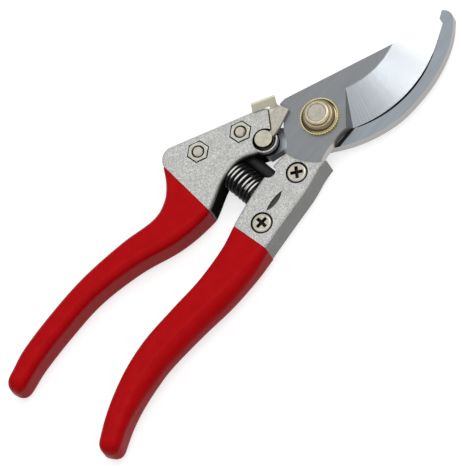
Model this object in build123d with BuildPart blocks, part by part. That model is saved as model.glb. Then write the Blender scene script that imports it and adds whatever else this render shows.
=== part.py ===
from build123d import *
import os
from math import cos, radians, sin, tan

# Bypass pruning shears, closed, lying flat on the head of the pivot bolt and on the grips.
# Millimetres. The origin is on the pivot axis at the resting plane, +X runs along the shears
# to the blade tips, +Y to the thumb's handle and +Z up, from the counter blade to the cutting
# blade. Heights are measured from the resting plane, plan points from the pivot axis.

os.makedirs("parts", exist_ok=True)

# ---- clearances
running_clearance = 0.05      # radial, shaft in bore
face_clearance = 0.05         # between flat faces that slide on each other
seat_clearance = 0.1          # round a tang in its slot and a grip on its core
head_clearance = 0.55         # round a screw head in its counterbore
nut_clearance = 0.5           # round a hex nut in its pocket

# ---- pivot
bolt_head_radius = 7.0
bolt_head_height = 3.0
bolt_shank_radius = 4.0
bolt_thread_radius = 3.5
bolt_end_chamfer = 0.2
bush_wall = 1.0
washer_radius = 7.35
washer_thickness = 1.2
washer_rim_width = 0.55
washer_dish_depth = 0.4       # between the rim and the nut's seat
washer_notches = 44
washer_notch_radius = 0.28
pivot_nut_base_radius = 6.15
pivot_nut_base_edge = 0.5       # straight edge under the domed skirt
pivot_nut_skirt_height = 2.3
pivot_nut_skirt_bulge = 0.45
pivot_nut_collar_radius = 4.75
pivot_nut_collar_height = 1.7
pivot_nut_collar_rounding = 0.95

# ---- flat steel
counter_thickness = 4.0
cutting_thickness = 3.85
counter_disc_radius = 11.6    # counter blade round the pivot
edge_arc_centre = (28.9, 27.9)
edge_arc_radius = 45.8        # cutting edge
bevel_width = 14.8
edge_heel_angle = -121.5      # ends of the cutting edge, seen from the arc's centre
edge_tip_angle = -54.5
edge_land = 0.15              # thickness left along the cutting edge
bevel_start_angle = -117.5    # inner corner of the ground bevel, seen from the edge's centre
bevel_runout_bearing = -136.3 # from there the bevel's end runs to the heel
bevel_runout_slope = 63.0
sap_groove_width = 0.8        # counter blade's groove past the cutting edge, at its middle
sap_groove_end_width = 0.25
sap_groove_depth = 0.7
sap_groove_start = -119.5     # ends of the groove, seen from the edge's centre
sap_groove_end = -69.0
sap_groove_cover = 0.3        # part of the groove under the cutting blade

# ---- castings and grips
casting_bottom = 0.6
casting_cover = 2.6           # casting above the cutting blade's tang
casting_rounding = 1.6
thumb_front_radius = 17.4     # front faces of the castings, round the pivot
finger_front_radius = 18.1
thumb_mouth_place = (-51.9, 20.4)
thumb_mouth_turn = -4.4
finger_mouth_place = (-51.1, -12.4)
finger_mouth_turn = 4.0
core_overlap = 1.0            # the core runs this far into its casting
grip_rounding = 3.4
grip_wall = 1.3
side_samples = 14             # points along each side of a grip
groove_depth = 1.2            # finger casting's groove
crease_depth = 0.35           # thumb casting's shallow crease
crease_radius = 4.0           # across the crease's hollow
crease_length = 33.0          # of the spindle that hollows it
crease_place = (-33.2, 19.3)
crease_bearing = 171.0

# ---- screws and nuts, M4
screw_radius = 2.0
screw_head_radius = 3.7
screw_head_height = 2.0
screw_head_rounding = 0.85
screw_tip_radius = 1.6
screw_tip_height = 0.6
cross_width = 1.3
cross_length = 4.8
cross_depth = 1.4
nut_across_flats = 7.0
nut_height = 3.2
nut_countersink = 0.55
hex_corner_slope = 0.6        # rise over run where a hexagon's corners are turned off
head_stand_out = 0.3          # screw heads and nuts past the casting's face
thumb_screw_places = [(-23.1, 19.0), (-38.7, 26.4)]
finger_screw_places = [(-21.6, -9.2), (-44.2, -12.3)]
finger_cross_turns = [40.0, 3.0]
thumb_cross_turn = 20.0
thumb_screw_reach = 0.5       # screw end past its nut
thumb_hex_turn = 34.5
finger_hex_turn = 10.0

# ---- latch
stud_place = (-19.8, 9.5)
stud_head_radius = 3.38
stud_head_height = 2.0
stud_head_rounding = 0.35
stud_shank_radius = 2.0
stud_depth = 3.6              # shank below the recess floor
latch_recess_radius = 4.4
stud_boss_radius = 5.0        # casting round the recess
stud_boss_height = 3.9        # below the casting's top face
stud_boss_rounding = 0.35
latch_thickness = 1.5
latch_eye_radius = 3.3
spring_washer_height = 0.3
spring_washer_radius = 3.2
latch_washer_thickness = 0.4
latch_washer_radius = 3.0
lug_distance = 14.2           # from the stud to the latch lug
lug_bearing = 29.8            # direction of the lug from the stud with the latch released
lug_radius = 0.85
lug_length = 3.8
lug_ear_radius = 1.35
tab_place = (-10.7, 17.8)     # middle of the tab's lower edge
tab_half_length = 4.75
tab_height = 3.34             # along the tab, which leans outward
tab_gap = 0.55                # over the casting
tab_foot_depth = 2.1
tab_thickness = 1.3

# ---- spring and bumper
spring_wire_radius = 0.75
spring_coil_radius = 4.9      # to the middle of the wire
spring_turns = 6.5
spring_gap = 0.3              # to the finger casting's seat
spring_place = -35.9          # along X
seat_pin_radius = 3.4
seat_pin_length = 3.6
pin_root = 0.5                # the seat pins start this far inside their castings
thumb_seat_y = 12.4
finger_seat_y = -0.9
bumper_place = -27.75         # along X
bumper_radius = 2.35
bumper_stem_radius = 1.5
bumper_stem_length = 2.6
bumper_boss_length = 2.4
bumper_root_y = 9.6
bumper_end_y = -2.6
bumper_gap = 0.35             # to the finger casting with the shears closed
bumper_end_flat = 0.3         # radius left flat on its rounded end

# ---- heights that follow
counter_bottom = bolt_head_height
counter_top = counter_bottom + counter_thickness
cutting_bottom = counter_top + face_clearance
cutting_top = cutting_bottom + cutting_thickness
washer_bottom = cutting_top + face_clearance
washer_top = washer_bottom + washer_thickness
collar_bottom = washer_top + pivot_nut_skirt_height
bolt_end = collar_bottom + pivot_nut_collar_height
bush_radius = bolt_shank_radius + running_clearance + bush_wall
casting_top = cutting_top + casting_cover
middle_height = (casting_bottom + casting_top) / 2
latch_floor = cutting_top + face_clearance
latch_bottom = latch_floor + spring_washer_height
latch_top = latch_bottom + latch_thickness
stud_head_bottom = latch_top + latch_washer_thickness
core_rounding = grip_rounding - grip_wall
nut_corner_radius = nut_across_flats / 2 / cos(radians(30))
counterbore_depth = screw_head_height - head_stand_out
nut_pocket_depth = nut_height - head_stand_out


def flat_piece(plan, bottom, top, growth=0.0):
    """The plan as a flat plate between two heights, made larger all round by growth."""
    with BuildPart() as plate:
        with BuildSketch(Plane.XY.offset(bottom)):
            add(plan)
            if growth:
                offset(amount=growth)
        extrude(amount=top - bottom)
    return plate.part


def rounded_bar(plan, bottom, top, rounding, square_end):
    """The plan as a bar with its rims rounded over, but for those at its far back (0) or front (-1)."""
    with BuildPart() as bar:
        add(flat_piece(plan, bottom, top))
        rims = bar.faces().filter_by(Axis.Z).edges()
        fillet(rims - rims.group_by(Axis.X)[square_end], rounding)
    return bar.part


def round_post(place, radius, bottom, top):
    """An upright cylinder between two heights."""
    with BuildPart() as post:
        with BuildSketch(Plane.XY.offset(bottom)):
            with Locations(place):
                Circle(radius)
        extrude(amount=top - bottom)
    return post.part


def hex_post(place, corner_radius, turn, bottom, top):
    """An upright hexagonal prism between two heights."""
    with BuildPart() as post:
        with BuildSketch(Plane.XY.offset(bottom)):
            with Locations(place):
                RegularPolygon(corner_radius, 6, rotation=turn)
        extrude(amount=top - bottom)
    return post.part


def finish(piece, name):
    """Label a finished piece and write it."""
    piece.part.label = name
    export_step(piece.part, "parts/" + name + ".step")


def machine_screw(place, head_face, tip_face, cross_turn):
    """A pan-head screw with a cross recess, pointing from its head face to its tip."""
    pointing = 1 if tip_face > head_face else -1
    length = abs(tip_face - head_face)
    with BuildPart(Plane(origin=(*place, head_face), z_dir=(0, 0, pointing))) as screw:
        Cylinder(screw_head_radius, screw_head_height, align=(Align.CENTER, Align.CENTER, Align.MIN))
        head_face_edges = screw.edges().filter_by(lambda edge: abs(edge.center().Z - head_face) < 1e-6)
        fillet(head_face_edges, screw_head_rounding)
        with Locations((0, 0, screw_head_height)):
            Cylinder(screw_radius, length - screw_head_height - screw_tip_height,
                     align=(Align.CENTER, Align.CENTER, Align.MIN))
        with Locations((0, 0, length - screw_tip_height)):
            Cone(screw_radius, screw_tip_radius, screw_tip_height,
                 align=(Align.CENTER, Align.CENTER, Align.MIN))
        for turn in (cross_turn, cross_turn + 90):
            with Locations(Location((0, 0, 0), (0, 0, turn))):
                Box(cross_length, cross_width, cross_depth,
                    align=(Align.CENTER, Align.CENTER, Align.MIN), mode=Mode.SUBTRACT)
    return screw.part


def chamfered_hex(place, corner_radius, turn, bottom, height, bore, countersink=0.0):
    """A hexagon with its upper corners turned off and a bore that may open out at the top."""
    corner_cut = corner_radius * (1 - cos(radians(30)))
    top = bottom + height
    with BuildPart() as nut:
        add(hex_post(place, corner_radius, turn, bottom, top))
        with BuildSketch(Plane(origin=(*place, 0), x_dir=(1, 0, 0), z_dir=(0, -1, 0))):
            with BuildLine():
                Polyline((0, bottom), (corner_radius, bottom),
                         (corner_radius, top - corner_cut * hex_corner_slope),
                         (corner_radius - corner_cut, top), (0, top), close=True)
            make_face()
        revolve(axis=Axis((*place, 0), (0, 0, 1)), mode=Mode.INTERSECT)
        add(round_post(place, bore, bottom, top), mode=Mode.SUBTRACT)
        if countersink:
            with Locations((*place, top - countersink)):
                Cone(bore, bore + countersink, countersink,
                     align=(Align.CENTER, Align.CENTER, Align.MIN), mode=Mode.SUBTRACT)
    return nut.part


# ---- plans used by more than one piece
thumb_grip_outer_side = [(-47.0, 38.0), (-50.9, 33.9), (-55.6, 27.9), (-61.0, 23.9), (-68.7, 22.4),
                         (-83.0, 25.6), (-102.0, 27.9), (-136.0, 26.2), (-145.4, 23.7)]
thumb_grip_end = (-150.6, 19.6)
thumb_grip_inner_side = [(-146.2, 15.7), (-136.5, 17.7), (-110.0, 19.0), (-90.8, 16.9), (-78.0, 12.1),
                         (-65.0, 8.3), (-47.0, 7.3)]
finger_grip_inner_side = [(-46.0, -3.0), (-51.5, -3.9), (-61.0, -6.3), (-79.0, -7.8), (-97.3, -7.2),
                          (-107.5, -7.7), (-121.7, -10.8), (-135.0, -16.3), (-143.8, -21.2)]
finger_grip_end = (-146.0, -26.4)
finger_grip_outer_side = [(-140.8, -28.9), (-132.4, -25.3), (-120.5, -22.0), (-105.0, -20.7),
                          (-89.0, -21.4), (-74.0, -22.6), (-60.2, -22.2), (-46.0, -19.6)]


def shifted_side(points, inset):
    """A smooth curve through the points, moved to its left by inset."""
    side = Spline(*points, mode=Mode.PRIVATE)
    steps = [step / side_samples for step in range(side_samples + 1)]
    return Spline(*[side @ step + (side % step).rotate(Axis.Z, 90) * inset for step in steps])


def grip_plan(first_side, end, second_side, inset=0.0):
    """A grip's outline along one side, round its end and back, drawn in by inset."""
    with BuildSketch() as plan:
        with BuildLine():
            going = shifted_side(first_side, inset)
            coming = shifted_side(second_side, inset)
            ThreePointArc(going @ 1, (end[0] + inset, end[1]), coming @ 0)
            Line(coming @ 1, going @ 0)
        make_face()
    return plan.sketch


counter_tang = [(-14.5, 14.2), (-20.0, 21.2), (-40.0, 31.0), (-43.8, 27.5), (-42.0, 21.5),
                (-30.5, 16.4), (-24.6, 12.0), (-22.9, 5.8), (-16.3, 3.7)]
cutting_tang = [(-17.4, 1.3), (-18.6, -1.8), (-28.0, -5.2), (-48.0, -7.0), (-48.4, -15.6),
                (-20.0, -14.2), (-12.6, -12.5)]

with BuildSketch() as counter_plan:
    with BuildLine():
        disc_foot = CenterArc((0, 0), counter_disc_radius, 168, 72)
        outer_edge = Spline(disc_foot @ 1, (0.2, -14.7), (5.6, -17.8), (11.7, -20.4), (18.9, -22.3),
                            (27.2, -22.8), (37.0, -22.1), (45.9, -19.9), (53.5, -16.6), (59.2, -12.4))
        hook_back = ThreePointArc(outer_edge @ 1, (61.3, -8.6), (59.9, -5.8))
        hook_lip = Polyline(hook_back @ 1, (56.9, -7.4), (57.7, -8.9))
        inner_edge = Spline(hook_lip @ 1, (52.0, -11.8), (44.0, -14.7), (34.0, -16.3), (24.0, -15.3),
                            (14.0, -11.6), (9.5, -6.65))
        disc_top = CenterArc((0, 0), counter_disc_radius, -35, 175)
        Polyline(inner_edge @ 1, disc_top @ 0)
        Polyline(disc_top @ 1, *counter_tang, disc_foot @ 0)
    make_face()

with BuildSketch() as counter_tang_plan:
    with BuildLine():
        Polyline(disc_top @ 1, *counter_tang, disc_foot @ 0, close=True)
    make_face()

edge_x, edge_y = edge_arc_centre


def seen_from_edge_centre(radius, angle):
    """The plan point at a distance and a bearing from the centre of the cutting edge."""
    return (edge_x + radius * cos(radians(angle)), edge_y + radius * sin(radians(angle)))


with BuildSketch() as sap_groove_plan:
    with BuildLine():
        under_edge = CenterArc(edge_arc_centre, edge_arc_radius - sap_groove_cover, sap_groove_start,
                               sap_groove_end - sap_groove_start)
        groove_side = ThreePointArc(
            seen_from_edge_centre(edge_arc_radius + sap_groove_end_width, sap_groove_start),
            seen_from_edge_centre(edge_arc_radius + sap_groove_width,
                                  (sap_groove_start + sap_groove_end) / 2),
            seen_from_edge_centre(edge_arc_radius + sap_groove_end_width, sap_groove_end))
        Line(under_edge @ 1, groove_side @ 1)
        Line(groove_side @ 0, under_edge @ 0)
    make_face()

with BuildSketch() as cutting_plan:
    with BuildLine():
        cutting_edge = CenterArc(edge_arc_centre, edge_arc_radius, edge_heel_angle,
                                 edge_tip_angle - edge_heel_angle)
        spine = Polyline(cutting_edge @ 1, (-2.8, 15.8), (-5.6, 15.9), (-4.8, 12.2))
        Spline(spine @ 1, (-9.6, 9.9), (-12.1, 7.4), (-14.0, 4.5), cutting_tang[0])
        Polyline(*cutting_tang)
        Spline(cutting_tang[-1], (-8.9, -11.2), (-5.2, -10.8), (0.0, -10.3), cutting_edge @ 0)
    make_face()

with BuildSketch() as cutting_tang_plan:
    with BuildLine():
        Polyline(*cutting_tang, close=True)
    make_face()


def mouth_plane(place, turn):
    """The upright plane where a grip ends and its casting begins, facing the blades."""
    return Plane(origin=(*place, 0), z_dir=(cos(radians(turn)), sin(radians(turn)), 0))


def on_mouth(place, turn, y):
    """The plan point where a mouth plane is crossed at the given y."""
    return (place[0] - (y - place[1]) * tan(radians(turn)), y)


thumb_mouth = mouth_plane(thumb_mouth_place, thumb_mouth_turn)
finger_mouth = mouth_plane(finger_mouth_place, finger_mouth_turn)


def grip_core(sides, mouth, growth=0.0):
    """The core inside a grip, up to 1 mm past its mouth, grown all round by growth."""
    inset = grip_wall - growth
    with BuildPart() as core:
        add(rounded_bar(grip_plan(*sides, inset), inset, casting_top - inset, core_rounding + growth, -1))
        split(bisect_by=mouth.offset(core_overlap), keep=Keep.BOTTOM)
    return core.part


def grip_sleeve(sides, mouth):
    """A dipped sleeve that fits its core, with an open mouth and a closed end."""
    with BuildPart() as sleeve:
        add(rounded_bar(grip_plan(*sides), 0, casting_top, grip_rounding, -1))
        add(grip_core(sides, mouth, seat_clearance), mode=Mode.SUBTRACT)
        split(bisect_by=mouth, keep=Keep.BOTTOM)
    return sleeve.part


thumb_grip_sides = (thumb_grip_outer_side, thumb_grip_end, thumb_grip_inner_side)
finger_grip_sides = (finger_grip_inner_side, finger_grip_end, finger_grip_outer_side)
with BuildPart() as thumb_grip:
    add(grip_sleeve(thumb_grip_sides, thumb_mouth))
finish(thumb_grip, "thumb_grip")

with BuildPart() as finger_grip:
    add(grip_sleeve(finger_grip_sides, finger_mouth))
finish(finger_grip, "finger_grip")

# ---- blades
with BuildPart() as counter_blade:
    add(flat_piece(counter_plan.sketch, counter_bottom, counter_top))
    add(round_post((0, 0), bolt_shank_radius + running_clearance, counter_bottom, counter_top),
        mode=Mode.SUBTRACT)
    add(flat_piece(sap_groove_plan.sketch, counter_top - sap_groove_depth, counter_top), mode=Mode.SUBTRACT)
    for place in thumb_screw_places:
        add(round_post(place, screw_radius + seat_clearance, counter_bottom, counter_top),
            mode=Mode.SUBTRACT)
finish(counter_blade, "counter_blade")

with BuildPart() as bevel_waste:
    with BuildSketch(Plane.XZ.offset(-edge_y)):
        with BuildLine():
            bevel_inner = edge_arc_radius - bevel_width
            bevel_slope = (cutting_thickness - edge_land) / bevel_width
            Polyline((edge_x + bevel_inner, cutting_top),
                     (edge_x + edge_arc_radius + 2, cutting_top - bevel_slope * (bevel_width + 2)),
                     (edge_x + edge_arc_radius + 2, cutting_top + 2),
                     (edge_x + bevel_inner, cutting_top + 2), close=True)
        make_face()
    revolve(axis=Axis((edge_x, edge_y, 0), (0, 0, -1)), revolution_arc=140)
    runout_bearing = radians(bevel_runout_bearing)
    across = Vector(-sin(runout_bearing), cos(runout_bearing))
    runout_point = Vector(*seen_from_edge_centre(bevel_inner, bevel_start_angle), cutting_top)
    runout_slope = radians(bevel_runout_slope)
    runout_normal = across * sin(runout_slope) + Vector(0, 0, cos(runout_slope))
    split(bisect_by=Plane(origin=runout_point, z_dir=runout_normal), keep=Keep.TOP)

with BuildPart() as cutting_blade:
    add(flat_piece(cutting_plan.sketch, cutting_bottom, cutting_top))
    add(bevel_waste.part, mode=Mode.SUBTRACT)
    add(round_post((0, 0), bush_radius, cutting_bottom, cutting_top), mode=Mode.SUBTRACT)
    for place in finger_screw_places:
        add(round_post(place, screw_radius + seat_clearance, cutting_bottom, cutting_top),
            mode=Mode.SUBTRACT)
finish(cutting_blade, "cutting_blade")


# ---- castings
def cylinder_along_y(x, start_y, length, radius):
    """A cylinder along Y at the castings' middle height."""
    with BuildPart() as pin:
        with BuildSketch(Plane.XZ.offset(-start_y)):
            with Locations((x, middle_height)):
                Circle(radius)
        extrude(amount=-length)
    return pin.part


stud_x, stud_y = stud_place
with BuildSketch() as thumb_front_plan:
    with BuildLine():
        back_corner = ThreePointArc(on_mouth(thumb_mouth_place, thumb_mouth_turn, 33.4),
                                    (-48.6, 36.3), (-44.4, 36.9))
        latch_side = Line(back_corner @ 1, (-12.4, 20.2))
        tip = TangentArc(latch_side @ 1, (-10.6, 10.4), tangent=latch_side % 1)
        under_stud = Line(tip @ 1, (-22.6, 7.0))
        hollow = Spline(under_stud @ 1, (-27.2, 10.1), (-31.0, 12.1), (spring_place, thumb_seat_y),
                        (-41.0, 11.7), (-47.2, 9.4), on_mouth(thumb_mouth_place, thumb_mouth_turn, 7.3))
        Line(hollow @ 1, back_corner @ 0)
    make_face()
    Circle(thumb_front_radius, mode=Mode.SUBTRACT)

with BuildPart() as stud_boss:
    add(round_post(stud_place, stud_boss_radius, casting_top - stud_boss_height, casting_top))
    fillet(stud_boss.edges().group_by(Axis.Z)[-1], stud_boss_rounding)

with BuildSketch() as latch_cutout_plan:
    with Locations(stud_place):
        Circle(latch_recess_radius)
    with BuildLine():
        Polyline((-15.3, 10.75), (-9.9, 17.25), (-8.0, 19.6), (-3.0, 12.0), (-12.0, 5.0),
                 (-13.5, 7.0), (-16.4, 7.2), (-18.0, 9.5), close=True)
    make_face()

along_crease = Vector(cos(radians(crease_bearing)), sin(radians(crease_bearing)))
crease_middle = Vector(*crease_place, casting_top - crease_depth + crease_radius)
with BuildPart() as crease_spindle:
    with BuildSketch(Plane(origin=crease_middle, x_dir=along_crease, z_dir=(0, 0, 1))):
        with BuildLine():
            bulge = ThreePointArc((-crease_length / 2, 0), (0, crease_radius), (crease_length / 2, 0))
            Line(bulge @ 1, bulge @ 0)
        make_face()
    revolve(axis=Axis(crease_middle, along_crease))

with BuildSketch() as finger_front_plan:
    with BuildLine():
        outer_wall = Spline((-5.0, -13.8), (-11.0, -14.3), (-16.4, -14.95), (-21.0, -16.1), (-31.0, -17.6),
                            (-41.0, -18.8), on_mouth(finger_mouth_place, finger_mouth_turn, -20.1))
        inner_wall = Spline(on_mouth(finger_mouth_place, finger_mouth_turn, -4.2), (-46.5, -2.9),
                            (spring_place, finger_seat_y), (-25.4, 0.2), (-14.5, -1.0))
        Line(outer_wall @ 1, inner_wall @ 0)
        Polyline(inner_wall @ 1, (-5.0, -5.0), outer_wall @ 0)
    make_face()
    Circle(finger_front_radius, mode=Mode.SUBTRACT)

with BuildSketch() as finger_groove_plan:
    with BuildLine():
        groove_top = ThreePointArc((-30.2, -9.6), (-35.0, -9.2), (-39.8, -10.4))
        ThreePointArc(groove_top @ 1, (-35.0, -11.4), groove_top @ 0)
    make_face()

with BuildPart() as thumb_handle:
    add(rounded_bar(thumb_front_plan.sketch, casting_bottom, casting_top, casting_rounding, 0))
    add(stud_boss.part)
    add(grip_core(thumb_grip_sides, thumb_mouth))
    add(cylinder_along_y(spring_place, thumb_seat_y + pin_root, -seat_pin_length - pin_root, seat_pin_radius))
    add(cylinder_along_y(bumper_place, bumper_root_y, bumper_boss_length, bumper_radius))
    add(cylinder_along_y(bumper_place, bumper_root_y, -bumper_radius, bumper_radius + seat_clearance),
        mode=Mode.SUBTRACT)
    add(cylinder_along_y(bumper_place, bumper_root_y, bumper_stem_length + seat_clearance,
                         bumper_stem_radius), mode=Mode.SUBTRACT)
    add(flat_piece(counter_tang_plan.sketch, counter_bottom, counter_top, seat_clearance),
        mode=Mode.SUBTRACT)
    add(flat_piece(latch_cutout_plan.sketch, latch_floor, casting_top), mode=Mode.SUBTRACT)
    add(crease_spindle.part, mode=Mode.SUBTRACT)
    add(round_post(stud_place, stud_shank_radius, latch_floor - stud_depth, latch_floor), mode=Mode.SUBTRACT)
    for place in thumb_screw_places:
        add(round_post(place, screw_radius + seat_clearance, casting_bottom, casting_top), mode=Mode.SUBTRACT)
        add(round_post(place, screw_head_radius + head_clearance, casting_bottom,
                       casting_bottom + counterbore_depth), mode=Mode.SUBTRACT)
        add(hex_post(place, nut_corner_radius + nut_clearance, thumb_hex_turn,
                     casting_top - nut_pocket_depth, casting_top), mode=Mode.SUBTRACT)
finish(thumb_handle, "thumb_handle")

with BuildPart() as finger_handle:
    add(rounded_bar(finger_front_plan.sketch, casting_bottom, casting_top, casting_rounding, 0))
    add(grip_core(finger_grip_sides, finger_mouth))
    add(cylinder_along_y(spring_place, finger_seat_y - pin_root, seat_pin_length + pin_root, seat_pin_radius))
    add(round_post((bumper_place, bumper_end_y + bumper_radius), bumper_radius + bumper_gap,
                   casting_bottom, casting_top), mode=Mode.SUBTRACT)
    add(flat_piece(cutting_tang_plan.sketch, cutting_bottom, cutting_top, seat_clearance),
        mode=Mode.SUBTRACT)
    add(flat_piece(finger_groove_plan.sketch, casting_top - groove_depth, casting_top), mode=Mode.SUBTRACT)
    for place in finger_screw_places:
        add(round_post(place, screw_radius + seat_clearance, casting_bottom, casting_top), mode=Mode.SUBTRACT)
        add(round_post(place, screw_head_radius + head_clearance, casting_top - counterbore_depth,
                       casting_top), mode=Mode.SUBTRACT)
        add(hex_post(place, nut_corner_radius + nut_clearance, finger_hex_turn, casting_bottom,
                     casting_bottom + nut_pocket_depth), mode=Mode.SUBTRACT)
finish(finger_handle, "finger_handle")

# ---- screws and nuts
screw_low_face = casting_bottom - head_stand_out
screw_high_face = casting_top + head_stand_out
for index, place in enumerate(thumb_screw_places, start=1):
    with BuildPart() as thumb_screw:
        add(machine_screw(place, screw_low_face, screw_high_face + thumb_screw_reach, thumb_cross_turn))
    finish(thumb_screw, f"thumb_screw_{index}")
    with BuildPart() as thumb_nut:
        add(chamfered_hex(place, nut_corner_radius, thumb_hex_turn, screw_high_face - nut_height,
                          nut_height, screw_radius, nut_countersink))
    finish(thumb_nut, f"thumb_nut_{index}")

for index, place in enumerate(finger_screw_places, start=1):
    with BuildPart() as finger_screw:
        add(machine_screw(place, screw_high_face, screw_low_face, finger_cross_turns[index - 1]))
    finish(finger_screw, f"finger_screw_{index}")
    with BuildPart() as finger_nut:
        add(chamfered_hex(place, nut_corner_radius, finger_hex_turn, screw_low_face, nut_height,
                          screw_radius))
    finish(finger_nut, f"finger_nut_{index}")

# ---- pivot
with BuildPart() as pivot_bolt:
    add(round_post((0, 0), bolt_head_radius, 0, bolt_head_height))
    add(round_post((0, 0), bolt_shank_radius, bolt_head_height, washer_bottom))
    add(round_post((0, 0), bolt_thread_radius, washer_bottom, bolt_end))
    chamfer(pivot_bolt.edges().group_by(Axis.Z)[-1], bolt_end_chamfer)
finish(pivot_bolt, "pivot_bolt")

with BuildPart() as pivot_bush:
    add(round_post((0, 0), bush_radius, cutting_bottom, cutting_top))
    add(round_post((0, 0), bush_radius - bush_wall, cutting_bottom, cutting_top), mode=Mode.SUBTRACT)
finish(pivot_bush, "pivot_bush")

with BuildPart() as pivot_washer:
    with BuildSketch(Plane.XZ):
        with BuildLine():
            seat_radius = pivot_nut_base_radius - 0.2
            Polyline((bolt_thread_radius, washer_bottom), (washer_radius, washer_bottom),
                     (washer_radius, washer_top), (washer_radius - washer_rim_width, washer_top),
                     (washer_radius - washer_rim_width, washer_top - washer_dish_depth),
                     (seat_radius, washer_top), (bolt_thread_radius, washer_top), close=True)
        make_face()
    revolve(axis=Axis.Z)
    with BuildSketch(Plane.XY.offset(washer_bottom)):
        with PolarLocations(washer_radius, washer_notches):
            Circle(washer_notch_radius)
    extrude(amount=washer_thickness, mode=Mode.SUBTRACT)
finish(pivot_washer, "pivot_washer")

with BuildPart() as pivot_nut:
    with BuildSketch(Plane.XZ):
        skirt_start = (pivot_nut_base_radius, washer_top + pivot_nut_base_edge)
        skirt_end = (pivot_nut_collar_radius, collar_bottom)
        skirt_middle = ((skirt_start[0] + skirt_end[0]) / 2 + pivot_nut_skirt_bulge,
                        (skirt_start[1] + skirt_end[1]) / 2 + pivot_nut_skirt_bulge)
        with BuildLine():
            Polyline((bolt_thread_radius, washer_top), (pivot_nut_base_radius, washer_top), skirt_start)
            ThreePointArc(skirt_start, skirt_middle, skirt_end)
            Polyline(skirt_end, (pivot_nut_collar_radius, bolt_end), (bolt_thread_radius, bolt_end),
                     (bolt_thread_radius, washer_top))
        make_face()
    revolve(axis=Axis.Z)
    top_rim = pivot_nut.edges().filter_by(GeomType.CIRCLE).group_by(Axis.Z)[-1].sort_by(SortBy.RADIUS)[-1]
    fillet(top_rim, pivot_nut_collar_rounding)
finish(pivot_nut, "pivot_nut")

# ---- latch
lug_place = (stud_x + lug_distance * cos(radians(lug_bearing)),
             stud_y + lug_distance * sin(radians(lug_bearing)))
with BuildSketch() as latch_plan:
    with BuildLine():
        Polyline((-16.9, 10.7), (-15.0, 10.5), (-9.6, 17.0), (-6.5, 15.7), (-5.1, 11.0),
                 (-12.6, 8.8), (-16.9, 8.2), close=True)
    make_face()
    with Locations(stud_place):
        Circle(latch_eye_radius)
    with Locations(lug_place):
        Circle(lug_ear_radius)
    with Locations(stud_place):
        Circle(stud_shank_radius + running_clearance, mode=Mode.SUBTRACT)

tab_plane = Plane(origin=(*tab_place, casting_top + tab_gap), x_dir=(0.863, -0.505, 0),
                  z_dir=(-0.438, -0.749, 0.497))
with BuildPart() as latch_plate:
    add(flat_piece(latch_plan.sketch, latch_bottom, latch_top))
    add(round_post(lug_place, lug_radius, latch_bottom - lug_length, latch_bottom))
    with BuildSketch(tab_plane):
        with BuildLine():
            Polyline((-tab_half_length, 0), (1.9, 0), (1.9, -tab_foot_depth), (4.6, -tab_foot_depth),
                     (tab_half_length, 0), (5.4, tab_height), (-4.1, tab_height), close=True)
        make_face()
    extrude(amount=-tab_thickness)
finish(latch_plate, "latch_plate")

with BuildPart() as latch_stud:
    add(round_post(stud_place, stud_head_radius, stud_head_bottom, stud_head_bottom + stud_head_height))
    fillet(latch_stud.edges().group_by(Axis.Z)[-1], stud_head_rounding)
    add(round_post(stud_place, stud_shank_radius, latch_floor - stud_depth, stud_head_bottom))
finish(latch_stud, "latch_stud")

for name, radius, bottom, top in (("latch_washer", latch_washer_radius, latch_top, stud_head_bottom),
                                  ("latch_spring_washer", spring_washer_radius, latch_floor, latch_bottom)):
    with BuildPart() as ring:
        add(round_post(stud_place, radius, bottom, top))
        add(round_post(stud_place, stud_shank_radius + running_clearance, bottom, top), mode=Mode.SUBTRACT)
    finish(ring, name)

# ---- spring and bumper
spring_start = finger_seat_y + spring_gap + spring_wire_radius
spring_run = thumb_seat_y - seat_clearance - spring_wire_radius - spring_start
with BuildPart() as spring:
    with BuildLine():
        coil = Helix(pitch=spring_run / spring_turns, height=spring_run, radius=spring_coil_radius,
                     center=(spring_place, spring_start, middle_height), direction=(0, 1, 0))
    with BuildSketch(Plane(origin=coil @ 0, z_dir=coil % 0)):
        Circle(spring_wire_radius)
    sweep(is_frenet=True)
finish(spring, "spring")

with BuildPart() as bumper:
    add(cylinder_along_y(bumper_place, bumper_end_y, bumper_root_y - bumper_end_y, bumper_radius))
    fillet(bumper.faces().sort_by(Axis.Y)[0].edges(), bumper_radius - bumper_end_flat)
    add(cylinder_along_y(bumper_place, bumper_root_y, bumper_stem_length, bumper_stem_radius))
finish(bumper, "bumper")
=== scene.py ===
# %% [markdown]
# # Pruning shears
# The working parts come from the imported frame: blades, castings, screws, pivot and latch are
# already solids of the right size. This scene gives them their finishes, and models the pieces
# whose look is soft or wound: the dipped grips and the coil spring. Everything is in metres in
# the frame of the shears: +X to the tips, +Y to the thumb's handle, +Z up from the table.

import bpy
import numpy as np
from mathutils import Matrix, Vector


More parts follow.
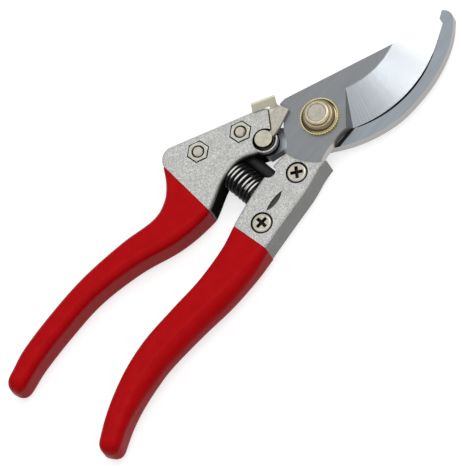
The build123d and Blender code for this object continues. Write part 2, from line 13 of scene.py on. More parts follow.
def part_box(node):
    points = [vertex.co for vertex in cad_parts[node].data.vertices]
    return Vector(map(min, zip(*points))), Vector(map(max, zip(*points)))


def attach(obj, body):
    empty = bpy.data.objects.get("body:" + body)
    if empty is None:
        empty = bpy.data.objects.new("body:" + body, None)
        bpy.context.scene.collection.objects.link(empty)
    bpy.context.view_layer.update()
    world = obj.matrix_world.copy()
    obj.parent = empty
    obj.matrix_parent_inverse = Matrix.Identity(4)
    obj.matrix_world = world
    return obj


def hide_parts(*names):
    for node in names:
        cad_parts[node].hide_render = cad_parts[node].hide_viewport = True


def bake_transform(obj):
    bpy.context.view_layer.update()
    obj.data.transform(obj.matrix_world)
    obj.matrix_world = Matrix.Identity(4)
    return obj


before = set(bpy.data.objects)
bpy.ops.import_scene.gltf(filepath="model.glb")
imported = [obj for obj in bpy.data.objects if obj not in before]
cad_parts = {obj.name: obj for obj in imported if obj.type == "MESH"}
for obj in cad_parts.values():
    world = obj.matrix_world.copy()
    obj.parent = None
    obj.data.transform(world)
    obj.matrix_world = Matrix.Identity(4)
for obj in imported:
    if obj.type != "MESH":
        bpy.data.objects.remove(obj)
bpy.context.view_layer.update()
MM = 0.001

# %% [markdown]
# ## Surfaces from arrays
# A new piece is a grid of points worked out by numpy: rows are sections along a path, columns go
# round each section. The grid is closed round and its ends are shut by a fan to a centre point,
# which gives a closed shell. Its faces point outward when the sections turn anticlockwise as seen
# against the direction of travel, so each piece checks the sign of its volume.

# %% Grid to mesh
def shell_piece(name, rings):
    """A closed mesh from rings of points (sections, points, 3), each end shut by a fan."""
    sections, around, _ = rings.shape
    index = np.arange(sections * around).reshape(sections, around)
    after = np.roll(index, -1, axis=1)
    quads = np.stack([index[:-1], after[:-1], after[1:], index[1:]], axis=-1).reshape(-1, 4)
    tips = rings[[0, -1]].mean(axis=1)
    points = np.concatenate([rings.reshape(-1, 3), tips])
    first_tip = np.full(around, sections * around)
    first_fan = np.stack([after[0], index[0], first_tip], axis=-1)
    last_fan = np.stack([index[-1], after[-1], first_tip + 1], axis=-1)
    mesh = bpy.data.meshes.new(name)
    mesh.from_pydata(points.tolist(), [], quads.tolist() + first_fan.tolist() + last_fan.tolist())
    mesh.polygons.foreach_set("use_smooth", np.ones(len(mesh.polygons), bool))
    a, b, c, d = (points[quads[:, k]] for k in range(4))
    volume = (np.cross(b - a, d - a) * a).sum() + (np.cross(d - c, b - c) * c).sum()
    if volume < 0:
        mesh.flip_normals()
    piece = bpy.data.objects.new(name, mesh)
    bpy.context.scene.collection.objects.link(piece)
    print(name, "faces", len(mesh.polygons), "turned" if volume < 0 else "as made")
    return piece


def smooth_rows(stations, samples):
    """Rows of numbers interpolated smoothly: a Catmull-Rom spline through the stations' rows."""
    rows = np.asarray(stations, float)
    padded = np.vstack([2 * rows[0] - rows[1], rows, 2 * rows[-1] - rows[-2]])
    along = np.linspace(0, len(rows) - 1, samples)
    first = np.minimum(along.astype(int), len(rows) - 2)
    t = (along - first)[:, None]
    a, b, c, d = (padded[first + k] for k in range(4))
    return 0.5 * (2 * b + (c - a) * t + (2 * a - 5 * b + 4 * c - d) * t**2
                  + (3 * b - a - 3 * c + d) * t**3)


# %% [markdown]
# ## Dipped grips
# Each grip is vinyl that was dipped over a cast handle, so it keeps the handle's flat faces and
# rounds its edges, tightly at the mouth and more towards the hand. A box with a bevel can't change
# its rounding along the way. Here the section is a rounded rectangle between the two sides of the
# handle, and its two corner radii are more numbers carried along the path.

# %% Rounded section
corner_turns = np.radians(np.linspace(0, 90, 13))
flat_run = np.linspace(1, -1, 8)[1:-1]
corner_signs = ((1, 1), (-1, 1), (-1, -1), (1, -1))
turn, along_side, up_side = [], [], []
for quarter, (sign_y, sign_z) in enumerate(corner_signs):
    next_y, next_z = corner_signs[(quarter + 1) % 4]
    turn += [corner_turns + quarter * np.pi / 2, np.full(len(flat_run), (quarter + 1) * np.pi / 2)]
    mix = (1 - flat_run) / 2
    along_side += [np.full(len(corner_turns), sign_y), sign_y + (next_y - sign_y) * mix]
    up_side += [np.full(len(corner_turns), sign_z), sign_z + (next_z - sign_z) * mix]
section_turn, section_y, section_z = (np.concatenate(part) for part in (turn, along_side, up_side))
print("points round a grip:", len(section_turn))


def sleeve_rings(outer_side, inner_side, half_height, radii, shrink, inset, middle):
    """Rounded rectangles between two sides. At a point of the section that turns by a, with s and q
    running between -1 and 1, across = s (w - r) + r cos a and up = q (h - r) + r sin a, where w and h
    are the half width and half height less the inset, and r is the corner radius less the inset."""
    centre = (outer_side + inner_side) / 2
    reach = (outer_side - inner_side) / 2
    width = np.linalg.norm(reach, axis=1, keepdims=True)
    w = (width - inset) * shrink
    h = (half_height - inset) * shrink
    r = radii[:, :1] * (1 + section_y) / 2 + radii[:, 1:] * (1 - section_y) / 2
    r = np.minimum(np.maximum(r - inset, 0.4) * shrink, np.minimum(w, h) * 0.98)
    across = section_y * (w - r) + r * np.cos(section_turn)
    up = section_z * (h - r) + r * np.sin(section_turn)
    plan = centre[:, None] + across[..., None] * (reach / width)[:, None]
    return np.concatenate([plan, (middle + up)[..., None]], axis=-1)


def dipped_grip(name, stations, end_length, wall):
    """A sleeve with an open mouth: rings of the inside from the end to the mouth, then rings of the
    outside back to the end. Over the end length the sections shrink as (1 - t^2.5)^(1/2.5)."""
    rows = smooth_rows(stations, 160)
    outer_side, inner_side, radii = rows[:, 0:2], rows[:, 2:4], rows[:, 5:7]
    centre = (outer_side + inner_side) / 2
    run = np.concatenate([[0], np.cumsum(np.linalg.norm(np.diff(centre, axis=0), axis=1))])
    finer = np.concatenate([[0, 0.12, 0.35], np.linspace(0.8, run[-1] - end_length, 130),
                            run[-1] - end_length * (1 - np.sin(np.linspace(0, np.pi / 2, 26)[1:]))])
    table = np.stack([np.interp(finer, run, column) for column in rows.T], axis=1)
    to_end = np.clip((finer - run[-1] + end_length) / end_length, 0, 1)[:, None]
    shrink = np.clip(1 - to_end**2.5, 0, 1) ** 0.4 * 0.995 + 0.005
    lip = np.clip(1 - finer / 0.35, 0, 1)[:, None] ** 2 * 0.3
    outside = sleeve_rings(table[:, 0:2], table[:, 2:4], table[:, 4:5], table[:, 5:7], shrink, lip, 6.75)
    keep = finer < run[-1] - end_length * 0.6
    inside = sleeve_rings(table[keep, 0:2], table[keep, 2:4], table[keep, 4:5], table[keep, 5:7],
                          np.ones((keep.sum(), 1)), wall, 6.75)
    return shell_piece(name, np.concatenate([inside[::-1], outside]) * MM)


# %% [markdown]
# The stations run from the mouth to the end. Each gives the point of the outward side, the point of
# the side that faces the other handle, half the height, and the corner radius at both sides.

# %% The two grips
thumb_stations = [
    (-50.93, 33.75, -52.90, 7.30, 6.70, 2.2, 2.3),
    (-55.60, 27.90, -57.50, 7.35, 6.75, 2.8, 2.9),
    (-61.00, 23.90, -64.00, 8.05, 6.75, 3.0, 3.1),
    (-68.70, 22.40, -72.00, 10.05, 6.75, 3.0, 3.1),
    (-83.00, 25.60, -86.00, 15.30, 6.72, 3.0, 3.1),
    (-102.0, 27.90, -103.5, 18.85, 6.70, 3.0, 3.1),
    (-120.0, 27.70, -120.0, 18.90, 6.70, 3.0, 3.1),
    (-136.0, 26.20, -135.2, 17.75, 6.70, 3.0, 3.2),
    (-145.0, 23.80, -143.3, 16.20, 6.70, 3.0, 3.2),
    (-151.2, 22.30, -149.6, 14.80, 6.70, 3.0, 3.2),
]
finger_stations = [
    (-50.52, -20.70, -51.69, -3.98, 6.70, 3.2, 2.2),
    (-60.20, -22.20, -61.00, -6.30, 6.75, 4.6, 3.0),
    (-74.00, -22.60, -75.00, -7.70, 6.75, 5.2, 3.4),
    (-89.00, -21.40, -89.00, -7.40, 6.75, 5.4, 3.6),
    (-105.0, -20.70, -104.0, -7.40, 6.75, 5.4, 3.8),
    (-114.0, -21.40, -116.0, -9.30, 6.75, 5.2, 3.6),
    (-123.4, -22.80, -127.0, -12.8, 6.72, 4.5, 3.3),
    (-131.6, -25.00, -136.0, -16.8, 6.70, 3.8, 3.0),
    (-139.8, -28.50, -143.8, -21.2, 6.70, 3.5, 2.9),
    (-143.7, -30.60, -147.7, -23.3, 6.70, 3.5, 2.9),
]
thumb_grip = dipped_grip("thumb_grip_vinyl", thumb_stations, 5.5, 1.2)
finger_grip = dipped_grip("finger_grip_vinyl", finger_stations, 5.0, 1.2)
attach(thumb_grip, "thumb_side")
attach(finger_grip, "finger_side")
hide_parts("thumb_grip")
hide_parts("finger_grip")

# %% [markdown]
# ## Spring
# The spring is round black wire wound on a cylinder between the handles. A tube carried along a
# helix gives it. Its closed ends come from a pitch that starts and stops at one wire thickness.

# %% Coil spring
def coil_spring(name, centre_xz, start_y, end_y, coil_radius, wire_radius, turns):
    """A tube round the curve x = R cos a, z = R sin a, y rising with a, where the rise eases in and
    out over the first and last turn so that the ends lie flat."""
    a = np.linspace(0, 2 * np.pi * turns, int(turns * 40))
    share = a / a[-1]
    eased = share - 0.030 * np.sin(2 * np.pi * share)
    y = start_y + (end_y - start_y) * eased
    path = np.stack([centre_xz[0] + coil_radius * np.cos(a), y, centre_xz[1] + coil_radius * np.sin(a)], 1)
    tangent = np.gradient(path, axis=0)
    tangent /= np.linalg.norm(tangent, axis=1, keepdims=True)
    outward = np.stack([np.cos(a), np.zeros_like(a), np.sin(a)], 1)
    third = np.cross(tangent, outward)
    b = np.linspace(0, 2 * np.pi, 16, endpoint=False)
    rings = path[:, None] + wire_radius * (np.cos(b)[:, None] * outward[:, None]
                                           + np.sin(b)[:, None] * third[:, None])
    return shell_piece(name, rings * MM)


low, high = (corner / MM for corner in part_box("spring"))
wire = 0.75
spring = coil_spring("spring_wire", ((low.x + high.x) / 2, (low.z + high.z) / 2), low.y + wire,
                     high.y - wire, (high.x - low.x) / 2 - wire + 0.3, wire, 6.5)
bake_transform(spring)
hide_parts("spring")

# %% [markdown]
# ## Finishes
# Each finish is a Principled shader with its own small pattern on Object coordinates, so it stays
# on the piece when the joints move. A helper makes the shader and hands out its sockets.

# %% Shader helpers
def finish(name, colour, roughness, metallic=0.0, **sockets):
    """A new material and its node tree, with the uniform values set on the shader's own sockets."""
    material = bpy.data.materials.new(name)
    material.use_nodes = True
    tree = material.node_tree
    shader = tree.nodes["Principled BSDF"]
    shader.inputs["Base Color"].default_value = (*colour, 1)
    shader.inputs["Roughness"].default_value = roughness
    shader.inputs["Metallic"].default_value = metallic
    for socket, value in sockets.items():
        shader.inputs[socket.replace("_", " ")].default_value = value
    return material, tree, shader


def feed(tree, socket, value):
    """Links a socket, or sets it to a number or a colour."""
    if isinstance(value, bpy.types.NodeSocket):
        tree.links.new(value, socket)
    elif isinstance(value, tuple) and len(value) == 3 and socket.type == "RGBA":
        socket.default_value = (*value, 1)
    else:
        socket.default_value = value


def maths(tree, operation, *values):
    """One step of arithmetic on sockets or numbers."""
    node = tree.nodes.new("ShaderNodeMath")
    node.operation = operation
    for socket, value in zip(node.inputs, values):
        feed(tree, socket, value)
    return node.outputs["Value"]


def step(tree, value, low, high):
    """0 where the value is below low, 1 above high, smooth between; low > high turns it round."""
    node = tree.nodes.new("ShaderNodeMapRange")
    node.interpolation_type = "SMOOTHSTEP"
    feed(tree, node.inputs["Value"], value)
    node.inputs["From Min"].default_value = min(low, high)
    node.inputs["From Max"].default_value = max(low, high)
    node.inputs["To Min"].default_value = 0.0 if low < high else 1.0
    node.inputs["To Max"].default_value = 1.0 if low < high else 0.0
    return node.outputs["Result"]


def both(tree, *masks):
    """Where every mask is 1: their product."""
    total = masks[0]
    for mask in masks[1:]:
        total = maths(tree, "MULTIPLY", total, mask)
    return total


def mixed(tree, factor, first, second):
    """The first colour where the factor is 0 and the second where it is 1."""
    node = tree.nodes.new("ShaderNodeMix")
    node.data_type = "RGBA"
    feed(tree, node.inputs[0], factor)
    feed(tree, node.inputs[6], first)
    feed(tree, node.inputs[7], second)
    return node.outputs[2]


def place(tree):
    """X, Y and Z of the Object coordinates, in metres, then the parts of the surface's normal along
    X, Y and up."""
    coordinates = tree.nodes.new("ShaderNodeTexCoord")
    split, facing = (tree.nodes.new("ShaderNodeSeparateXYZ") for _ in range(2))
    tree.links.new(coordinates.outputs["Object"], split.inputs[0])
    tree.links.new(coordinates.outputs["Normal"], facing.inputs[0])
    return *split.outputs, *facing.outputs


def from_axis(tree, x, y):
    """Distance in millimetres from an upright axis, for rings."""
    across_x, across_y = place(tree)[:2]
    gap_x = maths(tree, "SUBTRACT", across_x, x * MM)
    gap_y = maths(tree, "SUBTRACT", across_y, y * MM)
    squares = maths(tree, "ADD", maths(tree, "POWER", gap_x, 2.0), maths(tree, "POWER", gap_y, 2.0))
    return maths(tree, "MULTIPLY", maths(tree, "SQRT", squares), 1000.0)


def pattern(tree, kind, scale, stretch=(1, 1, 1), turn=(0, 0, 0), **settings):
    """A texture node on stretched Object coordinates."""
    coordinates = tree.nodes.new("ShaderNodeTexCoord")
    mapping = tree.nodes.new("ShaderNodeMapping")
    mapping.inputs["Rotation"].default_value = turn
    mapping.inputs["Scale"].default_value = stretch
    texture = tree.nodes.new(kind)
    texture.inputs["Scale"].default_value = scale
    for setting, value in settings.items():
        texture.inputs[setting].default_value = value
    tree.links.new(coordinates.outputs["Object"], mapping.inputs["Vector"])
    tree.links.new(mapping.outputs["Vector"], texture.inputs["Vector"])
    return texture


def ramp(tree, source, stops):
    """A colour ramp from (position, colour) stops, fed by a factor."""
    node = tree.nodes.new("ShaderNodeValToRGB")
    elements = node.color_ramp.elements
    while len(elements) < len(stops):
        elements.new(0.5)
    for element, (position, colour) in zip(elements, stops):
        element.position = position
        element.color = (*colour, 1)
    tree.links.new(source, node.inputs["Fac"])
    return node.outputs["Color"]


def bump(tree, shader, height, distance, strength=1.0):
    """Feeds a height into the shader's normal."""
    node = tree.nodes.new("ShaderNodeBump")
    node.inputs["Distance"].default_value = distance
    node.inputs["Strength"].default_value = strength
    tree.links.new(height, node.inputs["Height"])
    tree.links.new(node.outputs["Normal"], shader.inputs["Normal"])


def dress(material, *names):
    """Gives the material to CAD nodes or new pieces by name."""
    for name in names:
        piece = bpy.data.objects[name]
        piece.data.materials.clear()
        piece.data.materials.append(material)
    print(material.name, "on", ", ".join(names))


# %% Red vinyl
vinyl, tree, shader = finish("red_vinyl", (0.43, 0.002, 0.004), 0.26, Specular_IOR_Level=0.045)
skin = pattern(tree, "ShaderNodeTexNoise", 220, Detail=3)
reds = [(0.3, (0.405, 0.0012, 0.003)), (0.7, (0.455, 0.0022, 0.005))]
tree.links.new(ramp(tree, skin.outputs["Fac"], reds), shader.inputs["Base Color"])
bump(tree, shader, skin.outputs["Fac"], 0.00005)
dress(vinyl, "thumb_grip_vinyl", "finger_grip_vinyl")

# %% [markdown]
# ## Cast metal
# Sand leaves a grain of bright and dark specks. A fine noise gives the colour, and a coarser one
# makes some areas duller. Painted shade darkens the side walls and the hollows: round the nuts and
# screws, in the finger handle's groove, round the latch's stud and on the thumb handle's inner wall.
# Those masks come from the height and the axes, and they are part of the finish: they stay dark
# under any light.

# %% Castings
nut_spots = {"thumb_nut_1": (-23.1, 19.0), "thumb_nut_2": (-38.7, 26.4)}
screw_spots = {"finger_screw_1": (-21.6, -9.2), "finger_screw_2": (-44.2, -12.3)}
stud_spot = (-19.8, 9.5)
groove_centre = (-35.0, -10.4)
# Near black used for painted shade.
painted_shade_black = (0.012, 0.012, 0.012)


def sand_cast(name, hollow_places, hollow_radius, top):
    """Cast metal with painted shade on its side walls and in its round hollows below the top face."""
    material, tree, shader = finish(name, (0.6, 0.6, 0.58), 0.42, 0.3, Specular_IOR_Level=0.4)
    grain = pattern(tree, "ShaderNodeTexNoise", 1900, Detail=5, Roughness=0.75)
    cloud = pattern(tree, "ShaderNodeTexNoise", 150, Detail=2)
    specks = ramp(tree, grain.outputs["Fac"], [(0.34, (0.22, 0.22, 0.213)), (0.47, (0.47, 0.47, 0.455)),
                                               (0.58, (0.61, 0.61, 0.592)), (0.70, (0.90, 0.90, 0.87))])
    dull = mixed(tree, step(tree, cloud.outputs["Fac"], 0.42, 0.75), specks, (0.38, 0.38, 0.368))
    colour = mixed(tree, 0.35, specks, dull)
    _, _, z, _, _, up = place(tree)
    # Painted shade: the side walls are painted darker than the top face.
    sides = maths(tree, "MULTIPLY", step(tree, up, 0.7, 0.3), 0.75)
    colour = mixed(tree, sides, colour, (0.13, 0.128, 0.12))
    # Painted shade: the pockets round the nuts and screws, below the top face, are painted near black.
    low = step(tree, z, (top - 0.05) * MM, (top - 0.3) * MM)
    for x, y in hollow_places:
        near = step(tree, from_axis(tree, x, y), hollow_radius + 0.3, hollow_radius)
        colour = mixed(tree, both(tree, low, near), colour, (0.012, 0.011, 0.010))
    tree.links.new(colour, shader.inputs["Base Color"])
    bump(tree, shader, grain.outputs["Fac"], 0.00016)
    return material, tree, shader, colour


casting_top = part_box("thumb_handle")[1].z / MM
for name, hollows, radius in (("thumb_handle", nut_spots.values(), 4.7),
                              ("finger_handle", screw_spots.values(), 4.4)):
    cast, tree, shader, colour = sand_cast(name + "_cast", hollows, radius, casting_top)
    x, y, z, _, _, up = place(tree)
    if name == "thumb_handle":
        # Painted shade: the ring round the latch's stud inside its recess, and the recess rim on the +Y
        # side, are painted near black.
        stud_recess_shade = both(tree, step(tree, z, (casting_top - 0.1) * MM, (casting_top - 0.5) * MM),
                          step(tree, from_axis(tree, *stud_spot), 4.9, 4.5))
        rim = both(tree, step(tree, from_axis(tree, *stud_spot), 4.75, 4.45),
                   step(tree, y, 0.0085, 0.0105))
        stud_recess_shade = maths(tree, "MAXIMUM", stud_recess_shade, rim)
        # Painted shade: the thumb handle's inner wall beside the spring is painted near black below the
        # top.
        hollow = both(tree, step(tree, y, 0.0150, 0.0138), step(tree, x, -0.0535, -0.0520),
                      step(tree, z, (casting_top - 0.9) * MM, (casting_top - 2.4) * MM))
        dark = maths(tree, "MAXIMUM", stud_recess_shade, hollow)
    else:
        # Painted shade: the groove's floor below the top face is painted dark grey.
        groove = from_axis(tree, *groove_centre)
        dark = both(tree, step(tree, z, (casting_top - 0.5) * MM, (casting_top - 1.1) * MM),
                    step(tree, groove, 6.5, 5.5), step(tree, up, 0.5, 0.8))
    # The colours of the painted shade; where it lies, the metal and specular are turned down as well.
    shade = (0.012, 0.012, 0.011) if name == "thumb_handle" else (0.085, 0.085, 0.082)
    tree.links.new(mixed(tree, dark, colour, shade), shader.inputs["Base Color"])
    for socket, value in (("Specular IOR Level", 0.4), ("Metallic", 0.3)):
        dulled = maths(tree, "SUBTRACT", value, maths(tree, "MULTIPLY", dark, value))
        tree.links.new(dulled, shader.inputs[socket])
    dress(cast, name)

# %% [markdown]
# ## Blade steel
# The flats are ground dull and even. The cutting blade's bevel is ground bright: its mask is the
# height, because the bevel is all that faces up below the flat. Grinding marks run out from the
# centre of the edge, so they follow the angle round that centre, and a painted highlight makes the
# bevel's colour lighter towards the tip.

# %% Blades
def ground_steel(name, colour, roughness):
    """Steel with fine drawn lines along X."""
    material, tree, shader = finish(name, colour, roughness, 0.85)
    lines = pattern(tree, "ShaderNodeTexNoise", 50, stretch=(1, 12, 12), turn=(0, 0, 0.2), Detail=6)
    dark, light = (tuple(part * change for part in colour) for change in (0.94, 1.07))
    shade = ramp(tree, lines.outputs["Fac"], [(0.3, dark), (0.7, light)])
    bump(tree, shader, lines.outputs["Fac"], 0.00002)
    return material, tree, shader, shade


steel, tree, shader, flat_shade = ground_steel("cutting_steel", (0.218, 0.227, 0.240), 0.36)
x, y, z, facing_x, facing_y, up = place(tree)
cutting_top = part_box("cutting_blade")[1].z / MM
bevel = both(tree, step(tree, z, (cutting_top - 0.03) * MM, (cutting_top - 0.1) * MM),
             step(tree, up, 0.7, 0.9))
edge_centre_x, edge_centre_y = 28.9 * MM, 27.9 * MM
round_edge = maths(tree, "ARCTAN2", maths(tree, "SUBTRACT", y, edge_centre_y),
                   maths(tree, "SUBTRACT", x, edge_centre_x))
streaks = tree.nodes.new("ShaderNodeTexNoise")
streaks.noise_dimensions = "1D"
streaks.inputs["Scale"].default_value = 90
streaks.inputs["Detail"].default_value = 4
tree.links.new(round_edge, streaks.inputs["W"])
# Painted highlight: the bevel's colour runs from grey to near white towards the tip.
bevel_painted_sheen = ramp(tree, step(tree, x, 0.004, 0.056), [(0.0, (0.30, 0.322, 0.342)), (0.5, (0.41, 0.44, 0.465)),
                                                  (1.0, (0.78, 0.81, 0.84))])
streak = maths(tree, "MULTIPLY", step(tree, streaks.outputs["Fac"], 0.35, 0.75), 0.35)
bevel_painted_sheen = mixed(tree, streak, bevel_painted_sheen, (0.50, 0.53, 0.56))
# Painted shade: the walls facing -X at the latch's notch are painted near black.
shadowed = both(tree, step(tree, facing_x, -0.3, -0.7), step(tree, up, 0.5, 0.2),
                step(tree, x, -0.0035, -0.0045))
# Painted light: the heel's wall facing -Y is painted a lighter brown-grey.
heel_wall_painted_light = both(tree, step(tree, facing_y, -0.2, -0.5), step(tree, up, 0.5, 0.2),
                 step(tree, x, 0.009, 0.008))
colour = mixed(tree, heel_wall_painted_light, mixed(tree, bevel, flat_shade, bevel_painted_sheen), (0.46, 0.43, 0.40))
colour = mixed(tree, shadowed, colour, painted_shade_black)
tree.links.new(colour, shader.inputs["Base Color"])
polished = maths(tree, "SUBTRACT", 0.34, maths(tree, "MULTIPLY", bevel, 0.12))
tree.links.new(polished, shader.inputs["Roughness"])
dress(steel, "cutting_blade")

# The counter blade has its own masks: painted shade on the sap groove's floor, a painted shadow
# line at the foot of the cutting blade's heel, its side walls, a painted light patch beside the
# latch, and painted shade on its walls towards the handles.
hook_steel, tree, shader, flat_shade = ground_steel("counter_steel", (0.265, 0.290, 0.318), 0.40)
x, y, z, facing_x, facing_y, up = place(tree)
counter_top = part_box("counter_blade")[1].z / MM
# Painted shade: the sap groove's floor is painted near black.
groove_floor_shade = both(tree, step(tree, z, (counter_top - 0.1) * MM, (counter_top - 0.4) * MM),
                    step(tree, up, 0.3, 0.7))
# Painted shadow: a near-black line on the top face along the foot of the cutting blade's heel.
across_heel = maths(tree, "ADD", maths(tree, "MULTIPLY", x, 0.047), maths(tree, "MULTIPLY", y, -0.999))
from_heel = maths(tree, "ABSOLUTE", maths(tree, "SUBTRACT", across_heel, 11.23 * MM))
heel_shadow_line = both(tree, step(tree, z, (counter_top - 0.1) * MM, (counter_top - 0.02) * MM),
                 step(tree, from_heel, 0.0009, 0.0006), step(tree, x, 0.0065, 0.0055),
                 step(tree, x, -0.0085, -0.0075))
walls = step(tree, up, 0.6, 0.3)
colour = mixed(tree, walls, flat_shade, (0.40, 0.39, 0.38))
# Painted light: the top face beside the latch is painted lighter.
painted_light_patch = both(tree, step(tree, x, -0.0105, -0.0115), step(tree, up, 0.6, 0.8))
colour = mixed(tree, painted_light_patch, colour, (0.62, 0.66, 0.72))
# Painted shade: the walls towards the handles are painted near black.
behind_shade = both(tree, step(tree, x, -0.0165, -0.0180), walls)
colour = mixed(tree, behind_shade, colour, painted_shade_black)
colour = mixed(tree, maths(tree, "MAXIMUM", groove_floor_shade, heel_shadow_line), colour, painted_shade_black)
tree.links.new(colour, shader.inputs["Base Color"])
dress(hook_steel, "counter_blade")

# %% Screws, nuts and stud
def plated(name, colour, roughness, metallic=0.85):
    """Plated steel, slightly mottled."""
    material, tree, shader = finish(name, colour, roughness, metallic)
    mottle = pattern(tree, "ShaderNodeTexNoise", 700, Detail=3)
    dark, light = (tuple(part * change for part in colour) for change in (0.85, 1.12))
    shade = ramp(tree, mottle.outputs["Fac"], [(0.3, dark), (0.7, light)])
    tree.links.new(shade, shader.inputs["Base Color"])
    bump(tree, shader, mottle.outputs["Fac"], 0.00002)
    return material, tree, shader, shade


for name, spot in screw_spots.items():
    screw_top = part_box(name)[1].z / MM
    nickel, tree, shader, shade = plated(name + "_nickel", (0.50, 0.47, 0.40), 0.24)
    _, _, z, _, _, up = place(tree)
    # Painted shade: the cross recess in the screw head is painted near black.
    cross = both(tree, step(tree, z, (screw_top - 0.15) * MM, (screw_top - 0.45) * MM),
                 step(tree, from_axis(tree, *spot), 2.9, 2.7))
    tree.links.new(mixed(tree, cross, shade, (0.010, 0.008, 0.006)), shader.inputs["Base Color"])
    dress(nickel, name)
for name, spot in nut_spots.items():
    nut_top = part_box(name)[1].z / MM
    nickel, tree, shader, shade = plated(name + "_nickel", (0.52, 0.51, 0.44), 0.28)
    _, _, z, _, _, up = place(tree)
    # Painted shade: the nut's bore below its top and its flanks are painted near black.
    nut_bore_shade = both(tree, step(tree, z, (nut_top - 0.02) * MM, (nut_top - 0.2) * MM),
               step(tree, from_axis(tree, *spot), 2.9, 2.6))
    nut_flank_shade = step(tree, z, (nut_top - 0.3) * MM, (nut_top - 0.5) * MM)
    tree.links.new(mixed(tree, maths(tree, "MAXIMUM", nut_bore_shade, nut_flank_shade), shade, (0.012, 0.010, 0.008)),
                   shader.inputs["Base Color"])
    dress(nickel, name)
under_nickel, tree, shader, shade = plated("under_nickel", (0.52, 0.49, 0.42), 0.26)
dress(under_nickel, "thumb_screw_1", "thumb_screw_2", "finger_nut_1", "finger_nut_2", "pivot_bush",
      "latch_washer", "latch_spring_washer")

# %% [markdown]
# The latch is pressed steel with a satin plating; its bent-up tab is painted lighter, as painted
# light, and its stud's head stands in a recess painted dark, as painted shade. The pivot's nut is a
# yellow zinc dome: bright on its collar and base, painted a darker brown on its skirt, with a
# painted shadow at its foot. The washer is a dish inside its thin bright rim, painted dark on one
# side and lighter on the other: painted shade and light.

# %% Latch
latch_steel, tree, shader, shade = plated("latch_nickel", (0.46, 0.43, 0.37), 0.42, 0.35)
# Painted light: the bent-up tab is painted a lighter, yellower colour than the plate.
tab_painted_light = step(tree, place(tree)[1], 0.0145, 0.0165)
tree.links.new(mixed(tree, tab_painted_light, shade, (0.72, 0.69, 0.56)), shader.inputs["Base Color"])
dress(latch_steel, "latch_plate")
stud_steel, tree, shader, shade = plated("stud_nickel", (0.48, 0.46, 0.37), 0.36)
_, _, z, _, _, up = place(tree)
# Painted shade: the stud's sides are painted near black.
stud_side_shade = step(tree, up, 0.6, 0.3)
tree.links.new(mixed(tree, stud_side_shade, shade, (0.03, 0.025, 0.02)), shader.inputs["Base Color"])
dress(stud_steel, "latch_stud")

# %% Pivot
bolt_metal, tree, shader, shade = plated("bolt_zinc", (0.42, 0.40, 0.33), 0.3)
from_pivot = from_axis(tree, 0.0, 0.0)
rings = maths(tree, "MULTIPLY", maths(tree, "SINE", maths(tree, "MULTIPLY", from_pivot, 7.0)), 0.5)
bump(tree, shader, rings, 0.00003)
dress(bolt_metal, "pivot_bolt")

gold, tree, shader, shade = plated("yellow_zinc", (0.52, 0.46, 0.33), 0.24, 1.0)
nut_low, nut_top = (corner.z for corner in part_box("pivot_nut"))
_, _, z, _, _, _ = place(tree)
# The skirt is painted a darker brown.
skirt = both(tree, step(tree, z, nut_low + 0.6 * MM, nut_low + 0.9 * MM),
             step(tree, z, nut_low + 2.5 * MM, nut_low + 2.1 * MM))
# Painted shadow: the nut's foot is painted near black.
foot_shadow = step(tree, z, nut_low + 0.45 * MM, nut_low + 0.3 * MM)
browned_skirt = mixed(tree, maths(tree, "MULTIPLY", skirt, 0.85), shade, (0.15, 0.105, 0.058))
tree.links.new(mixed(tree, foot_shadow, browned_skirt, (0.05, 0.035, 0.02)), shader.inputs["Base Color"])
dress(gold, "pivot_nut")

dish, tree, shader, shade = plated("washer_zinc", (0.70, 0.62, 0.30), 0.22, 1.0)
from_pivot = from_axis(tree, 0.0, 0.0)
# Painted shade and light: inside the rim the dish is painted dark on its +Y side and a lighter brown on its
# -Y side.
inside = mixed(tree, step(tree, place(tree)[1], -0.0005, -0.0035), (0.11, 0.085, 0.05), (0.34, 0.28, 0.15))
tree.links.new(mixed(tree, step(tree, from_pivot, 6.95, 6.75), shade, inside), shader.inputs["Base Color"])
dress(dish, "pivot_washer")

# %% Wire and rubber
# The tops of the coils are painted bright: a painted highlight.
black_wire, tree, shader = finish("black_wire", (0.008, 0.008, 0.009), 0.3, Specular_IOR_Level=0.2)
oil = pattern(tree, "ShaderNodeTexNoise", 900, Detail=2)
black = ramp(tree, oil.outputs["Fac"], [(0.3, (0.005, 0.005, 0.006)), (0.7, (0.013, 0.012, 0.012))])
painted_coil_highlight = step(tree, place(tree)[5], 0.86, 0.96)
tree.links.new(mixed(tree, painted_coil_highlight, black, (0.80, 0.78, 0.74)), shader.inputs["Base Color"])
bump(tree, shader, oil.outputs["Fac"], 0.00001)
dress(black_wire, "spring_wire")
rubber, tree, shader = finish("black_rubber", (0.006, 0.006, 0.006), 0.55, Specular_IOR_Level=0.3)
speck = pattern(tree, "ShaderNodeTexNoise", 1500, Detail=2)
soots = [(0.3, (0.004, 0.004, 0.004)), (0.7, (0.010, 0.010, 0.010))]
tree.links.new(ramp(tree, speck.outputs["Fac"], soots), shader.inputs["Base Color"])
bump(tree, shader, speck.outputs["Fac"], 0.00004)
dress(rubber, "bumper")

# %% [markdown]
# ## Stage, light and camera
# The shears lie on white. The floor and the world show as white to the camera and in reflections,
# and a lower, even light falls on the object, so its colours come out as they are written.

# %% Floor and world
def white_to_camera(tree, seen, unseen):
    """One value for camera, glossy and transmission rays, and another for the rest."""
    path = tree.nodes.new("ShaderNodeLightPath")
    value = tree.nodes.new("ShaderNodeMix")
    value.data_type = "FLOAT"
    mirrored = maths(tree, "MAXIMUM", path.outputs["Is Glossy Ray"], path.outputs["Is Transmission Ray"])
    feed(tree, value.inputs[0], maths(tree, "MAXIMUM", path.outputs["Is Camera Ray"], mirrored))
    feed(tree, value.inputs[2], unseen)
    feed(tree, value.inputs[3], seen)
    return value.outputs[0]


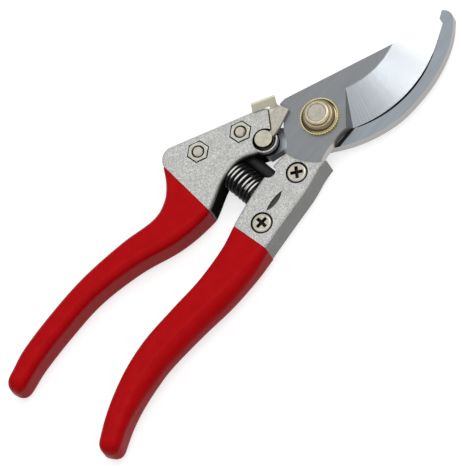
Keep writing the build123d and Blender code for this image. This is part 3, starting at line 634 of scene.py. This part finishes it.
world = bpy.context.scene.world or bpy.data.worlds.new("studio")
bpy.context.scene.world = world
world.use_nodes = True
tree = world.node_tree
sky = tree.nodes["Background"]
sky.inputs["Color"].default_value = (1, 1, 1, 1)
direction = tree.nodes.new("ShaderNodeTexCoord")
height = tree.nodes.new("ShaderNodeSeparateXYZ")
tree.links.new(direction.outputs["Generated"], height.inputs[0])
dome = maths(tree, "ADD", 0.10, maths(tree, "MULTIPLY", step(tree, height.outputs["Z"], 0.15, 0.95), 1.0))
tree.links.new(white_to_camera(tree, 1.0, dome), sky.inputs["Strength"])

floor_mesh = bpy.data.meshes.new("floor")
reach = 3.0
floor_mesh.from_pydata([(-reach, -reach, 0), (reach, -reach, 0), (reach, reach, 0), (-reach, reach, 0)], [],
                       [(0, 1, 2, 3)])
floor = bpy.data.objects.new("floor", floor_mesh)
floor.location.z = -0.0002
bpy.context.scene.collection.objects.link(floor)
paper, tree, shader = finish("white_paper", (0.5, 0.5, 0.5), 0.9, Specular_IOR_Level=0.0)
shader.inputs["Emission Color"].default_value = (1, 1, 1, 1)
tree.links.new(white_to_camera(tree, 0.68, 0.0), shader.inputs["Emission Strength"])
floor_mesh.materials.append(paper)
print("floor at", floor.location.z)


# %% Lamps
def softbox(name, spot, size, radiance, aim=(-0.03, 0, 0)):
    """A rectangular area lamp that faces the shears; its power is pi times radiance times area."""
    lamp = bpy.data.lights.new(name, "AREA")
    lamp.shape = "RECTANGLE"
    lamp.size, lamp.size_y = size
    lamp.energy = np.pi * radiance * size[0] * size[1]
    holder = bpy.data.objects.new(name, lamp)
    holder.location = spot
    holder.rotation_euler = (Vector(aim) - Vector(spot)).to_track_quat("-Z", "Y").to_euler()
    bpy.context.scene.collection.objects.link(holder)
    print(name, round(lamp.energy, 2), "W")


softbox("overhead", (0.52, 0.04, 0.70), (0.45, 0.5), 2.2)
softbox("strip", (0.05, 0.06, 0.90), (0.9, 0.05), 4.0)

# %% Camera
view_right = Vector((0.6657, -0.7004, -0.2578)).normalized()
view_up = Vector((0.7395, 0.5724, 0.3546)).normalized()
view_back = view_right.cross(view_up)
aim_point = Vector((-0.05297, -0.00276, 0.00575))
camera_data = bpy.data.cameras.new("camera")
camera_data.sensor_width = 36.0
camera_data.lens = 900.0
frame_width = 0.1715
distance = frame_width * camera_data.lens / camera_data.sensor_width
camera = bpy.data.objects.new("camera", camera_data)
turn_matrix = Matrix((view_right, view_up, view_back)).transposed().to_4x4()
camera.matrix_world = Matrix.Translation(aim_point + view_back * distance) @ turn_matrix
bpy.context.scene.collection.objects.link(camera)
bpy.context.scene.camera = camera
bpy.context.scene.view_settings.view_transform = "Standard"
print("camera distance", round(distance, 3))
